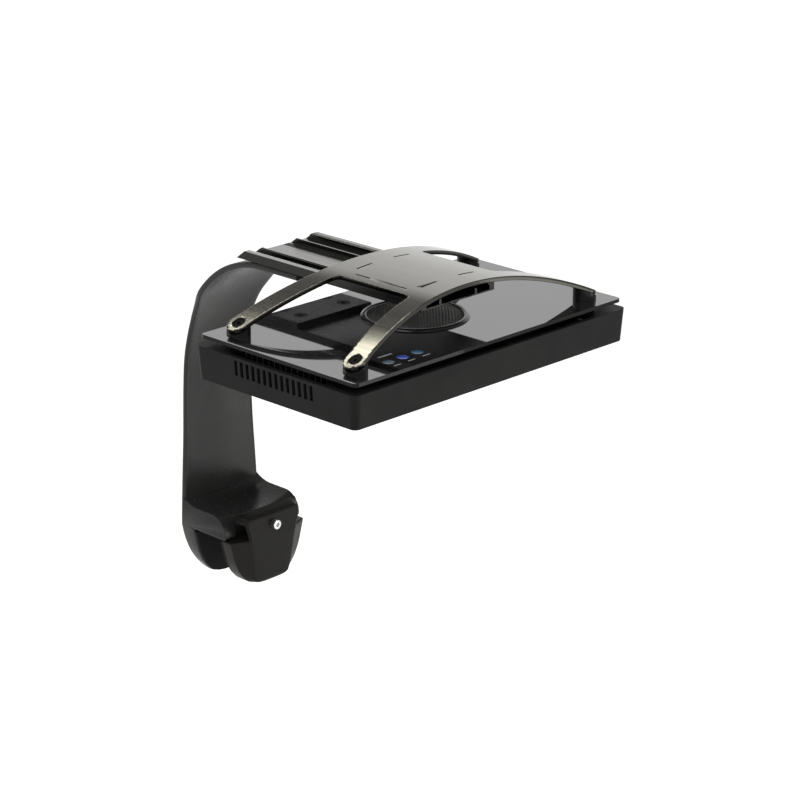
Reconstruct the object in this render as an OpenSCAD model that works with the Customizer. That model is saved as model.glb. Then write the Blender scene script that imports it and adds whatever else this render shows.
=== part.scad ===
// LED aquarium light: a slim lamp head hangs from an arched hanger, which slides on a rail.
// The rail is carried by a bent arm with a screw clamp that grips the tank's rim.
// +X runs along the lamp's long side, -Y from the clamp over the water, +Z up.
// Origin: centre of the clamp's seat, the face that rests on the top edge of the pane.

/* [Place of the lamp] */
// Distance from the clamp's seat to the middle of the lamp
reach = 172; // [165:1:180]
// Height of the lamp's glass top above the clamp's seat
lamp_top = 194; // [180:1:200]

/* [Lamp head] */
// Length of the housing at its rim
tray_l = 255; // [250:1:260]
// Width of the housing at its rim
tray_w = 147; // [144:1:150]
// Height of the housing
tray_h = 22.8; // [22:0.2:24]
// Drop from the glass top to the housing's rim
rim_drop = 6.8; // [6:0.2:8]
// Draft of each side wall
tray_draft = 1.6; // [1:0.2:2]
// Wall of the housing
tray_wall = 2.2; // [2:0.1:2.6]
// Length of the glass top
plate_l = 248.8; // [246:0.2:249]
// Width of the glass top
plate_w = 142; // [140:1:143]
// Thickness of the glass top
plate_t = 2.5; // [2:0.1:3]
// Vent slots in each short side
vent_count = 14; // [10:1:16]
// Pitch of the vent slots
vent_pitch = 5.3; // [5:0.1:5.6]

/* [Fan] */
// Outer radius of the fan guard's ring
guard_r = 36; // [34:0.5:37]
// Inner radius of the fan guard's ring
guard_in_r = 31.8; // [31:0.1:32]
// Radius of the rotor over its blades
rotor_r = 29.6; // [28:0.2:30]
// Blades of the rotor
blade_count = 7; // [5:1:9]

/* [Arched hanger] */
// Radius of the arch's upper face
arch_r = 250; // [245:1:255]
// Height of the arch's crown over the glass top
arch_rise = 32; // [31.5:0.1:33]
// Thickness of the hanger sheet
arch_t = 3; // [2.8:0.1:3.2]
// Half distance between the leg screws along the lamp
leg_x = 107.2; // [105:0.2:108]
// Half distance between the leg screws across the lamp
leg_y = 53.3; // [52:0.1:54]
// Half width of the middle plate between the two windows
mid_hw = 38.5; // [37:0.5:40]

/* [Rail] */
// Half width of the rail
rail_hw = 34; // [33.5:0.5:35]
// Height of the rail
rail_h = 6; // [6:0.1:6.2]
// Distance from the lamp's middle to the rail's front end
rail_front = 38.5; // [38:0.5:40]
// Distance from the lamp's middle to the rail's back end
rail_back = 136; // [130:1:138]

/* [Arm] */
// Thickness of the arm
arm_t = 4; // [4:0.1:4.5]
// Half width of the arm at its top end
arm_head_hw = 35; // [34:0.5:36]
// Half width of the arm at its waist
arm_waist_hw = 29; // [28:0.2:31]
// Half width of the arm at the clamp
arm_foot_hw = 36; // [35.5:0.5:37]
// Radius of the upper bend
bend_top_r = 80; // [76:1:84]
// Distance from the clamp's seat to the arm's back face
arm_back = 28; // [27.5:0.5:29]

/* [Clamp] */
// Opening between the two pads, at rest
clamp_gap = 25; // [24:0.5:25]
// Depth of the clamp below its seat
clamp_depth = 39; // [38:0.5:40]
// Thickness of the rubber pads
pad_t = 2; // [1.8:0.1:2]
// Height of the clamp screw over the seat
screw_z = 7.3; // [7:0.1:7.5]
// Thread size of the clamp screw
screw_d = 6; // [5.5:0.1:6]

/* [Hidden] */
$fn = 64;
lamp_y = -reach;
rim_z = lamp_top - rim_drop;
tray_z = rim_z - tray_h;
plate_z = lamp_top - plate_t;
arch_axis_z = lamp_top + arch_rise - arch_r;
arch_in_r = arch_r - arch_t;
leg_tilt = asin(leg_x / arch_r);
leg_tip_r = 7.85;
rail_z = lamp_top + 18.7;
strut_x = 118;                         // base screws and their struts, along the lamp
strut_y = 62;                          // base screws and their struts, across the lamp
shelf_l = 30;                          // corner shelves of the housing
shelf_t = 4;
post_d = 15.7;
spigot_d = 7.9;
fan_w = 70;
fan_h = 14;
fan_z = plate_z - 0.1 - fan_h;
hub_r = 14;
shaft_r = 1.5;
fan_screw_at = 30.6;                   // fan screw centres from the fan's axis, in X and Y
lens_z = tray_z + 2;                   // lens cover rests on the floor's ledge
lens_t = 2;
window_l = 204;
window_w = 100;
board_l = 208;
board_w = 104;
board_screw_x = 98;
board_screw_y = 48;
board_t = 1.6;
lens_h = 2.4;
chip_t = 0.8;
board_z = lens_z + lens_t + 0.6 + lens_h + chip_t;
sink_z = board_z + board_t;
sink_l = 244;
sink_w = 132;
sink_t = 2.6;
fin_t = 1;
fin_l = 76;
fin_x = 78;                            // middle of each row of fins, along the lamp
fin_last = 8;                          // number of the outermost fin on either side of the middle one
fin_top = plate_z - 0.7;
key_xy = [[-80, -55], [-67, -54.5], [-53.5, -54]];
jack_x = 88;
jack_z = tray_z + 12.5;
front_y = -(clamp_gap / 2 + pad_t);    // moving jaw casting, face towards the pane
back_y = clamp_gap / 2 + pad_t;        // fixed jaw casting, face towards the pane
foot_front = -19.6;
seat_front = front_y + 0.5;            // front edge of the seat; the foot's underside is relieved before it
seat_relief = 0.4;
foot_top = 17;
foot_dip = 3.9;                        // how far the foot's top sinks in its middle
recess_y = -15.8;                      // floor of the recess that the jaw's front wall enters
foot_round = 14;                       // round of the foot's front edge
foot_rise = 13.3;                      // slope of the foot's top beside the strap
rise_y = 10;                           // where that slope starts
jaw_hw = 35.5;
jaw_depth = clamp_depth - 2;
bolt_x = 20;                           // rail bolts, either side of the middle
hood_front = -31.5;
hood_wall = 2.2;
hood_top = 18;
pin_x = 16;
pin_d = 4;
insert_d = 9.5;
clip_d = 9;
run = 0.05;                            // radial running clearance
slip = 0.3;                            // clearance between sliding bodies

// ---- outlines ----

function arc(cx, cy, r, a0, a1, n) =
    [for (i = [0:n]) let (a = a0 + (a1 - a0) * i / n) [cx + r * cos(a), cy + r * sin(a)]];
function flip_x(pts) = [for (i = [len(pts) - 1:-1:0]) [-pts[i][0], pts[i][1]]];
function flip_y(pts) = [for (i = [len(pts) - 1:-1:0]) [pts[i][0], -pts[i][1]]];
function round_rect(l, w, r, n = 5) = let (x = l / 2 - r, y = w / 2 - r) concat(
    arc(x, y, r, 0, 90, n), arc(-x, y, r, 90, 180, n),
    arc(-x, -y, r, 180, 270, n), arc(x, -y, r, 270, 360, n));

module slab(outline, z0, h) { translate([0, lamp_y, z0]) linear_extrude(h) polygon(outline); }
module at_lamp(x, y, z) { translate([x, lamp_y + y, z]) children(); }
module corners(x, y) { for (i = [-1, 1], j = [-1, 1]) at_lamp(i * x, j * y, 0) children(); }
// Lies an outline drawn in Y and Z across the part, from -hw to hw in X
module across(pts, hw) {
    translate([-hw, 0, 0]) rotate([90, 0, 90]) linear_extrude(2 * hw) polygon(pts);
}
// Stands an outline drawn in X and Z from y0 to y1
module facing(pts, y0, y1) {
    translate([0, y1, 0]) rotate([90, 0, 0]) linear_extrude(y1 - y0) polygon(pts);
}
// Lays a rod of diameter d from y0 to y1
module along_y(d, y0, y1, x = 0, z = 0) {
    translate([x, y1, z]) rotate([90, 0, 0]) cylinder(d = d, h = y1 - y0);
}

// ---- arm ----

bend_y = rail_back - 24 - reach;       // where the upper bend starts
bend_split = 40;                       // angle at which the upper bend passes into the lower one
bend_mid_y = bend_y + bend_top_r * sin(bend_split);
bend_mid_z = rail_z - bend_top_r * (1 - cos(bend_split));
bend_back_r = (arm_back - bend_mid_y) / (1 - sin(bend_split));
bend_end_z = bend_mid_z - bend_back_r * cos(bend_split);
arm_head_y = bend_y - 36;
bolt_y = [arm_head_y + 12, bend_y - 6];
tail_r = 58;
tail_z = -5;                           // where the tail of the clamp starts to curve in

// The strap's line from the head to the clamp, t inside its back face
function strap(t) = concat(
    [[arm_head_y, rail_z - t]],
    [for (i = [0:9]) let (a = bend_split * i / 9)
        [bend_y + (bend_top_r - t) * sin(a), rail_z - bend_top_r + (bend_top_r - t) * cos(a)]],
    [for (i = [1:9]) let (a = bend_split + (90 - bend_split) * i / 9)
        [arm_back - bend_back_r + (bend_back_r - t) * sin(a), bend_end_z + (bend_back_r - t) * cos(a)]]);
function back_to_front(pts) = [for (i = [len(pts) - 1:-1:0]) pts[i]];
function tail(z) = arm_back - tail_r + sqrt(tail_r * tail_r - pow(z - tail_z, 2));
arm_side = concat(
    strap(0),
    [for (i = [0:8]) let (z = tail_z - (clamp_depth + tail_z) * i / 8) [tail(z), z]],
    [[back_y, -clamp_depth], [back_y, 0]],
    [[seat_front, 0], [seat_front, seat_relief], [foot_front, seat_relief]],
    arc(foot_front + foot_round, foot_top - foot_round, foot_round, 180, 90, 7),
    [[arm_back - arm_t, foot_top + foot_dip + 1]],
    back_to_front(strap(arm_t)));

// Outline of the clamp's two shields below the seat, from the bottom up, w in from the edge
function shield(w, depth) = [[0, w - depth], [9 - w, w - depth], [15 - w, w + 0.9 - depth],
    [20.5 - w, 3.6 - depth], [25.4 - w, 9 - depth], [28.4 - w, 14 - depth], [31 - w, 20 - depth],
    [33.2 - w, 27.5 - depth], [34.8 - w, 34 - depth]];
// Half width of the strap from the seat up
arm_edge = [[arm_foot_hw, 0], [35.2, 20], [34, 41], [32.5, 66], [31.2, 100], [29.7, 125],
    [arm_waist_hw, 140], [arm_waist_hw, 150], [29.4, 157], [31, 168], [33.5, 176], [34.6, 180],
    [arm_head_hw, 184], [arm_head_hw, 230]];
arm_front = let (half = concat(shield(0, clamp_depth), arm_edge)) concat(half, flip_x(half));

// Space above the foot's dished top, which rises towards the strap
module saddle() {
    r = (arm_foot_hw * arm_foot_hw + foot_dip * foot_dip) / (2 * foot_dip);
    intersection() {
        along_y(2 * r, foot_front - 1, arm_back, 0, foot_top - foot_dip + r, $fn = 200);
        translate([0, rise_y, foot_top - foot_dip]) rotate([foot_rise, 0, 0])
            along_y(2 * r, foot_front - 20, arm_back, 0, r, $fn = 200);
    }
}

module arm() {
    color("dimgray") difference() {
        intersection() {
            across(arm_side, arm_foot_hw + 1);
            facing(arm_front, arm_head_y - 1, arm_back + 1);
        }
        intersection() {
            saddle();
            translate([-50, foot_front - 1, 0]) cube([100, arm_back - arm_t - foot_front + 1, 40]);
        }
        translate([-25.6, foot_front - 1, -1]) cube([51.2, recess_y - foot_front + 1, foot_top + 2]);
        along_y(insert_d, recess_y - 1, recess_y + 12, 0, screw_z);
        along_y(screw_d + 1, recess_y, arm_back - 2.5, 0, screw_z);
        for (s = [-1, 1]) along_y(pin_d + 2 * run, recess_y - 1, arm_back - 2.5, s * pin_x, screw_z);
        for (x = [-bolt_x, bolt_x], y = bolt_y) translate([x, y, rail_z - arm_t]) {
            translate([0, 0, -1]) cylinder(d = bolt_d + 2 * run, h = arm_t + 2);
            cylinder(d1 = sunk_d + 2 * run, d2 = bolt_d + 2 * run, h = sunk_h);
        }
    }
}

bolt_d = 5;
sunk_d = 9.6;                          // countersunk heads of the rail bolts
sunk_h = 2.3;

module rail_bolts() {
    color([0.1, 0.1, 0.1]) for (x = [-bolt_x, bolt_x], y = bolt_y)
        translate([x, y, rail_z - arm_t]) difference() {
            union() {
                cylinder(d = bolt_d, h = arm_t + rail_floor - 0.1);
                cylinder(d1 = sunk_d, d2 = bolt_d, h = sunk_h);
            }
            translate([0, 0, -0.1]) cylinder(d = 3.4, h = 1.8, $fn = 6);
        }
}

// ---- rail ----

rail_floor = 1;
rib_in = 15.6;                         // rib beside the runner slot
slot_in = 17.6;                        // inner side of the runner slot
slot_out = 28.2;                       // mouth of the runner slot
slot_deep = 29.5;                      // undercut of the runner slot
lip_z = 4.4;                           // underside of the slot's lip
strip_in = 7.4;                        // groove of the inlaid strip
strip_out = 12.8;
strip_t = 0.7;
rail_half = [[0, 0], [rail_hw, 0], [rail_hw, rail_h], [slot_out + 2.1, rail_h], [slot_out, rail_h - 0.5],
    [slot_out, lip_z], [slot_deep, lip_z], [slot_deep, rail_floor], [slot_in, rail_floor],
    [slot_in, rail_h - 2.2], [slot_in - 0.9, rail_h - 1.3], [rib_in, rail_h - 1.3], [rib_in, rail_floor],
    [strip_out, rail_floor], [strip_out, rail_floor - strip_t], [strip_in, rail_floor - strip_t],
    [strip_in, rail_floor], [0, rail_floor]];

// Side view of the rail: square in front, slanted behind
rail_ends = let (y0 = lamp_y - rail_front, y1 = lamp_y + rail_back)
    [[y0, -1], [y1 + 1.4, -1], [y1 - 8, rail_h], [y1 - 8, rail_h + 1], [y0, rail_h + 1]];

module rail() {
    color("darkslategray") translate([0, 0, rail_z]) difference() {
        intersection() {
            facing(concat(rail_half, flip_x(rail_half)), lamp_y - rail_front, lamp_y + rail_back);
            across(rail_ends, 50);
        }
        for (x = [-bolt_x, bolt_x], y = bolt_y)
            translate([x, y, -1]) cylinder(d = bolt_d + 2 * run, h = rail_floor + 2);
    }
}

module rail_strips() {
    w = strip_out - strip_in - 2 * run;
    color("black") intersection() {
        for (s = [-1, 1]) translate([s * (strip_in + strip_out) / 2 - w / 2, lamp_y - rail_front,
            rail_z + rail_floor - strip_t]) cube([w, rail_front + rail_back, strip_t - 0.1]);
        translate([0, 0, rail_z]) across(rail_ends, 50);
    }
}

// ---- clamp ----

pad_in = 0.5;                          // margin of the rubber pads inside their shields
pad_top = -2.2;                        // both pads end this far under the seat
// Outline of a rubber pad on a shield of this depth, cut off at z = top
function pad_outline(depth, top) = let (half = concat(shield(pad_in, depth), [[jaw_hw - 0.8, top]]))
    concat(half, flip_x(half));

module fixed_jaw_pad() { color("black") facing(pad_outline(clamp_depth, pad_top), clamp_gap / 2, back_y); }
module moving_jaw_pad() { color("black") facing(pad_outline(jaw_depth, pad_top), front_y, -clamp_gap / 2); }

module screw_insert() {
    color("goldenrod") difference() {
        along_y(insert_d, recess_y + 0.9, recess_y + 12, 0, screw_z);
        along_y(screw_d + 2 * run, recess_y, recess_y + 13, 0, screw_z);
    }
}

jaw_side = [[front_y, -slip], [front_y, -jaw_depth], [-25.6, -jaw_depth], [-28.2, 1.6 - jaw_depth],
    [-31.1, -slip]];
jaw_front = let (half = concat(shield(0.2, jaw_depth), [[jaw_hw, 1]])) concat(half, flip_x(half));
jaw_plan = let (half = [[19, -31.4], [34.6, -25.6], [jaw_hw, -24.4], [jaw_hw, front_y + 1]])
    concat(half, flip_x(half));
panel_front = let (half = [[0, 1.6 - jaw_depth], [14.5, 1.6 - jaw_depth], [17, -32], [18, -20], [19.4, -10],
    [21, -1], [24, 8], [24, hood_top], [0, hood_top]])
    concat(half, flip_x(half));
panel_side = [[hood_front + hood_wall, -slip], [-26, -slip], [-26, 2 - jaw_depth], [-28.8, 1.6 - jaw_depth],
    [-31.3, -6], [hood_front, 0], [hood_front, 13.8], [-31, 15.2], [-29.6, 16.1], [-22, hood_top],
    [-22, hood_top - 1.9], [hood_front + hood_wall, hood_top - 3.9]];

module clamp_jaw() {
    color([0.2, 0.19, 0.18]) difference() {
        union() {
            intersection() {
                across(jaw_side, 50);
                facing(jaw_front, -50, 0);
                translate([0, 0, -50]) linear_extrude(60) polygon(jaw_plan);
            }
            intersection() {
                across(panel_side, 50);
                facing(panel_front, -50, 0);
            }
        }
        along_y(screw_d + 0.6, -40, -20, 0, screw_z);
        for (s = [-1, 1]) along_y(pin_d + 0.02, hood_front + 1, -20, s * pin_x, screw_z);
    }
}

module guide_pins() {
    color("silver") for (s = [-1, 1]) along_y(pin_d, hood_front + 1, 8, s * pin_x, screw_z);
}

module clamp_screw() {
    color("gainsboro") difference() {
        union() {
            along_y(7, hood_front - 4.2, hood_front - 0.1, 0, screw_z);
            along_y(screw_d, hood_front - 0.2, 8, 0, screw_z);
        }
        translate([0, hood_front - 1.6, screw_z]) rotate([90, 0, 0]) cylinder(d = 4, h = 5, $fn = 6);
        // groove for the retaining clip
        difference() {
            along_y(screw_d + 1, hood_front + hood_wall + 0.2, hood_front + hood_wall + 1.2, 0, screw_z);
            along_y(screw_d - 1.4, hood_front, -20, 0, screw_z);
        }
    }
}

module screw_clip() {
    color("silver") difference() {
        along_y(clip_d, hood_front + hood_wall + 0.25, hood_front + hood_wall + 1.15, 0, screw_z);
        along_y(screw_d - 1.3, hood_front, -20, 0, screw_z);
        translate([-2, -40, screw_z - 10]) cube([4, 30, 10]);
    }
}

// ---- hanger ----

function leg_edge(x) = 46.8 + 0.00125 * x * x;
hanger_quarter = let (corner = 5, inner = leg_edge(mid_hw + corner) - 15.4) concat(
    [for (x = [0:13.4:leg_x - 1]) [x, leg_edge(x)]],
    arc(leg_x, leg_y, leg_tip_r, 90, -90, 10),
    [for (x = [leg_x - 10:-12:mid_hw + corner + 3]) [x, leg_edge(x) - 15.4]],
    arc(mid_hw + corner, inner - corner, corner, 90, 180, 4));
hanger_half = concat(hanger_quarter, flip_y(hanger_quarter));
slits = [for (s = [-1, 1]) each
    [[10, 29.3 * s, 14, 0], [-24.5, 29.3 * s, 14, 0], [-31.4, 16.5 * s - 6.5, 0, 13]]];

module arch_solid(r) {
    translate([0, lamp_y + 80, arch_axis_z]) rotate([90, 0, 0]) cylinder(r = r, h = 160, $fn = 400);
}
module on_leg(i, j) { at_lamp(0, j * leg_y, arch_axis_z) rotate([0, i * leg_tilt, 0]) children(); }

module hanger() {
    color([0.35, 0.34, 0.29]) difference() {
        intersection() {
            arch_solid(arch_r);
            slab(concat(hanger_half, flip_x(hanger_half)), lamp_top - 10, 60);
        }
        arch_solid(arch_in_r);
        for (s = slits) at_lamp(s[0] - 0.55, s[1] - 0.55, lamp_top + 20)
            cube([s[2] + 1.1, s[3] + 1.1, 20]);
        for (i = [-1, 1], j = [-1, 1]) on_leg(i, j) {
            translate([0, 0, arch_in_r - 1]) cylinder(d = 4.4, h = 6);
            translate([0, 0, arch_r - 2.1]) cylinder(d = 8.7, h = 6);
        }
    }
}

module hanger_screws() {
    color("black") for (i = [-1, 1], j = [-1, 1]) on_leg(i, j) difference() {
        union() {
            translate([0, 0, arch_r - 2.1]) cylinder(d = 8.1, h = 1.5);
            translate([0, 0, arch_r - 8]) cylinder(d = 4, h = 6);
        }
        translate([0, 0, arch_r - 1.6]) cylinder(d = 3, h = 2, $fn = 6);
    }
}

module hanger_posts() {
    color([0.09, 0.09, 0.09]) for (i = [-1, 1], j = [-1, 1]) difference() {
        union() {
            intersection() {
                at_lamp(i * leg_x, j * leg_y, lamp_top) cylinder(d = post_d, h = 30);
                arch_solid(arch_in_r - 0.05);
            }
            at_lamp(i * leg_x, j * leg_y, rim_z - shelf_t - 4) cylinder(d = spigot_d, h = 16);
        }
        on_leg(i, j) translate([0, 0, arch_r - 8.3]) cylinder(d = 4 + 2 * run, h = 10);
    }
}

module post_nuts() {
    color("silver") corners(leg_x, leg_y) translate([0, 0, rim_z - shelf_t - 3.2]) difference() {
        cylinder(d = 13, h = 3.1, $fn = 6);
        translate([0, 0, -1]) cylinder(d = spigot_d + 2 * run, h = 6);
    }
}

module plate_spacers() {
    color("black") corners(leg_x, leg_y) translate([0, 0, rim_z]) difference() {
        cylinder(d = 14, h = rim_drop - plate_t);
        translate([0, 0, -1]) cylinder(d = spigot_d + 0.3, h = 8);
    }
}

module carriage() {
    color("dimgray") union() {
        intersection() {
            at_lamp(-28, -30, rail_z + rail_h + 0.5) cube([56, 60, 6]);
            arch_solid(arch_in_r - 0.05);
        }
        // tongues that stand in the hanger's slits
        intersection() {
            for (s = slits) if (s[3] == 0) at_lamp(s[0] - 0.3, s[1] - 0.3, rail_z + rail_h + 1)
                cube([s[2] + 0.6, 0.6, 8]);
            arch_solid(arch_r - 2);
        }
    }
}

runner_half = [[slot_in + slip, rail_floor + slip], [slot_deep - 0.4, rail_floor + slip],
    [slot_deep - 0.4, lip_z - slip], [slot_out - slip, lip_z - slip], [slot_out - slip, rail_h + 0.5],
    [slot_in + slip, rail_h + 0.5]];

module carriage_runners() {
    color("black") for (m = [0, 1], y = [-28, 8]) mirror([m, 0, 0]) translate([0, 0, rail_z])
        facing(runner_half, lamp_y + y, lamp_y + y + 20);
}

// ---- lamp head ----

module glass_top() {
    color([0.12, 0.12, 0.13]) difference() {
        slab(round_rect(plate_l, plate_w, 3), plate_z, plate_t);
        at_lamp(0, 0, plate_z - 1) cylinder(r = 33.4, h = plate_t + 2);
        corners(leg_x, leg_y) translate([0, 0, plate_z - 1]) cylinder(d = spigot_d + 0.5, h = plate_t + 2);
        for (k = key_xy) at_lamp(k[0], k[1], lamp_top - 0.5) cylinder(d = 8, h = 1);
        for (k = key_xy) at_lamp(k[0] - 3.2, k[1] - 8.2, lamp_top - 0.5) cube([6.4, 1, 1]);
        at_lamp(-79, -45.5, lamp_top - 0.5) cube([12, 2, 1]);
    }
}

module touch_keys() {
    color("steelblue") for (k = key_xy) at_lamp(k[0], k[1], lamp_top - 0.5) cylinder(d = 7.9, h = 0.5);
}

module touch_marks() {
    color("lightgray") {
        for (k = key_xy) at_lamp(k[0] - 3.1, k[1] - 8.1, lamp_top - 0.5) cube([6.2, 0.8, 0.5]);
        at_lamp(-78.9, -45.4, lamp_top - 0.5) cube([11.8, 1.8, 0.5]);
    }
}

module touch_board() {
    color("darkgreen") difference() {
        at_lamp(-92, -66, plate_z - 1.6) cube([50, 22, 1.5]);
        for (x = [-89, -45]) at_lamp(x, -47, plate_z - 3) cylinder(d = 2.6, h = 5);
    }
}

module fan_guard_ring() {
    color("gray") at_lamp(0, 0, 0) difference() {
        union() {
            translate([0, 0, plate_z]) cylinder(r = 33.2, h = plate_t + 1);
            translate([0, 0, lamp_top]) cylinder(r = guard_r, h = 1.6);
        }
        translate([0, 0, plate_z - 1]) cylinder(r = guard_in_r, h = 8);
    }
}

module fan_guard_mesh() {
    color("dimgray") at_lamp(0, 0, lamp_top - 0.4) linear_extrude(0.8) intersection() {
        circle(r = guard_in_r - 0.02);
        union() {
            for (u = [-28:5.6:28]) {
                translate([u - 0.5, -40]) square([1, 80]);
                translate([-40, u - 0.5]) square([80, 1]);
            }
            difference() {
                circle(r = guard_in_r + 1);
                circle(r = guard_in_r - 1);
            }
        }
    }
}

module fan_frame() {
    color([0.1, 0.1, 0.1]) at_lamp(0, 0, fan_z) difference() {
        union() {
            difference() {
                linear_extrude(fan_h) polygon(round_rect(fan_w, fan_w, 4));
                translate([0, 0, -1]) cylinder(r = 31, h = fan_h + 2);
            }
            translate([0, 0, 0]) cylinder(r = hub_r, h = 1.5);
            for (a = [30:120:270]) rotate(a) translate([hub_r - 2, -1.5, 0]) cube([33.5 - hub_r, 3, 1.5]);
            cylinder(r = 4.5, h = 6);
        }
        translate([0, 0, 1]) cylinder(r = 3.5, h = 8);
        for (i = [-1, 1], j = [-1, 1]) translate([i * fan_screw_at, j * fan_screw_at, -1])
            cylinder(d = 3.4, h = fan_h + 2);
    }
}

module fan_screws() {
    color("silver") corners(fan_screw_at, fan_screw_at) difference() {
        union() {
            translate([0, 0, fan_z - 2.4]) cylinder(d = 3, h = fan_h + 2.3);
            translate([0, 0, fan_z - 2.6]) cylinder(d = 2.6, h = 1);
        }
        translate([0, 0, fan_z + fan_h - 1]) cylinder(d = 1.6, h = 2, $fn = 6);
    }
}

module fan_bearing() {
    color("silver") at_lamp(0, 0, fan_z + 1.1) difference() {
        cylinder(r = 3.45, h = 4.8);
        translate([0, 0, -1]) cylinder(r = shaft_r + run, h = 8);
    }
}

module fan_rotor() {
    color([0.14, 0.14, 0.14]) at_lamp(0, 0, fan_z + 2.2) {
        difference() {
            cylinder(r = hub_r, h = fan_h - 3.4);
            translate([0, 0, -1]) cylinder(r = hub_r - 1.4, h = fan_h - 4);
            cylinder(r = shaft_r + 0.01, h = fan_h - 3.9);
        }
        intersection() {
            for (i = [0:blade_count - 1]) rotate(i * 360 / blade_count)
                translate([hub_r - 0.6, 0, (fan_h - 3.4) / 2]) rotate([38, 0, 0])
                    translate([0, -7, -0.6]) cube([20, 14, 1.2]);
            cylinder(r = rotor_r, h = fan_h - 3.4);
        }
    }
}

module fan_shaft() {
    color("silver") at_lamp(0, 0, fan_z + 1.4) cylinder(r = shaft_r, h = fan_h - 3.1);
}

module housing() {
    color([0.17, 0.17, 0.17]) difference() {
        union() {
            difference() {
                hull() {
                    slab(round_rect(tray_l - 2 * tray_draft, tray_w - 2 * tray_draft, 4), tray_z, 0.1);
                    slab(round_rect(tray_l, tray_w, 5), rim_z - 0.1, 0.1);
                }
                slab(round_rect(tray_l - 2 * (tray_wall + tray_draft),
                    tray_w - 2 * (tray_wall + tray_draft), 3),
                    tray_z + 2, tray_h);
            }
            // corner shelves that carry the posts
            intersection() {
                slab(round_rect(tray_l - 2 * tray_draft, tray_w - 2 * tray_draft, 4),
                    rim_z - shelf_t, shelf_t);
                corners(tray_l / 2 - shelf_l / 2 - 0.5, tray_w / 2 - shelf_l / 2 - 0.5)
                    translate([-shelf_l / 2, -shelf_l / 2, rim_z - shelf_t])
                        cube([shelf_l, shelf_l, shelf_t]);
            }
            // struts that carry the heatsink
            corners(strut_x, strut_y) translate([0, 0, tray_z]) cylinder(d = 7, h = sink_z - tray_z);
        }
        slab(round_rect(window_l, window_w, 4), tray_z - 1, 4);
        for (i = [0:vent_count - 1], s = [-1, 1])
            at_lamp(s * tray_l / 2 - 6, (i - (vent_count - 1) / 2) * vent_pitch - 1.35, rim_z - 12.4)
                cube([12, 2.7, 10.2]);
        corners(leg_x, leg_y) translate([0, 0, rim_z - shelf_t - 1]) cylinder(d = spigot_d + 0.3, h = 8);
        corners(strut_x, strut_y) {
            translate([0, 0, tray_z - 1]) cylinder(d = 3 + 2 * run, h = 14);
            translate([0, 0, tray_z - 1]) cylinder(d = 6.2, h = 2.4);
        }
        at_lamp(jack_x, tray_w / 2 + 5, jack_z) rotate([90, 0, 0]) cylinder(d = 11.2, h = 16);
    }
}

module base_screws() {
    color("silver") corners(strut_x, strut_y) translate([0, 0, tray_z]) difference() {
        union() {
            cylinder(d = 3, h = sink_z + sink_t - tray_z);
            cylinder(d = 5.8, h = 1.4);
        }
        translate([0, 0, -0.1]) cylinder(d = 2.4, h = 1, $fn = 6);
    }
}

module heatsink() {
    color("silver") difference() {
        union() {
            at_lamp(-sink_l / 2, -sink_w / 2, sink_z) cube([sink_l, sink_w, sink_t]);
            for (i = [-fin_last:fin_last], s = [-1, 1])
                at_lamp(s * fin_x - fin_l / 2, i * vent_pitch - fin_t / 2, sink_z + sink_t - 0.1)
                    cube([fin_l, fin_t, fin_top - sink_z - sink_t + 0.1]);
        }
        corners(strut_x, strut_y) translate([0, 0, sink_z - 1]) cylinder(d = 3 + 2 * run, h = sink_t + 2);
        corners(leg_x, leg_y) translate([0, 0, sink_z - 1]) cylinder(d = 16, h = sink_t + 2);
        corners(board_screw_x, board_screw_y) translate([0, 0, sink_z - 1]) cylinder(d = 2.6, h = sink_t + 2);
        corners(fan_screw_at, fan_screw_at) translate([0, 0, sink_z - 1]) cylinder(d = 3.1, h = sink_t + 2);
        // notch for the socket and its nut
        at_lamp(jack_x - 8.5, sink_w / 2 - 6, sink_z - 1) cube([17, 8, sink_t + 2]);
    }
}

module board_screws() {
    color("silver") corners(board_screw_x, board_screw_y) translate([0, 0, board_z - 1.4]) {
        cylinder(d = 2.5, h = 1.4 + board_t + 2.2);
        cylinder(d = 4.6, h = 1.3);
    }
}

led_cols = 6;
led_rows = 4;
module each_led() {
    for (i = [0:led_cols - 1], j = [0:led_rows - 1])
        at_lamp((i - (led_cols - 1) / 2) * 32, (j - (led_rows - 1) / 2) * 23, 0) children();
}

module led_board() {
    color("white") difference() {
        slab(round_rect(board_l, board_w, 3), board_z, board_t);
        corners(board_screw_x, board_screw_y) translate([0, 0, board_z - 1]) cylinder(d = 3, h = 4);
    }
}

module led_chips() {
    color("gold") each_led() translate([-1.75, -1.75, board_z - chip_t]) cube([3.5, 3.5, chip_t]);
}

module led_lenses() {
    color("aliceblue") each_led() translate([0, 0, board_z - chip_t - lens_h]) difference() {
        cylinder(r = 7, h = lens_h);
        translate([0, 0, -1]) cylinder(r = 3, h = 2);
    }
}

module lens_gasket() {
    color("black") difference() {
        slab(round_rect(window_l + 8, window_w + 8, 4), lens_z + lens_t, 0.6);
        slab(round_rect(window_l + 2, window_w + 2, 3), lens_z, 5);
    }
}

module lens_cover() {
    color([0.8, 0.85, 0.9, 0.4]) slab(round_rect(window_l + 8, window_w + 8, 4), lens_z, lens_t);
}

module power_socket() {
    color([0.1, 0.1, 0.1]) at_lamp(jack_x, tray_w / 2 - 1, jack_z) rotate([90, 0, 0]) difference() {
        union() {
            translate([0, 0, -1.6]) cylinder(d = 11, h = 12);
            translate([0, 0, -1.9]) cylinder(d = 13, h = 1.9 - 0.8);
        }
        translate([0, 0, -3]) cylinder(d = 5.7, h = 11);
    }
}

module socket_pin() {
    color("gold") at_lamp(jack_x, tray_w / 2 - 1, jack_z) rotate([90, 0, 0]) translate([0, 0, -0.5])
        cylinder(d = 2, h = 8.5);
}

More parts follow.
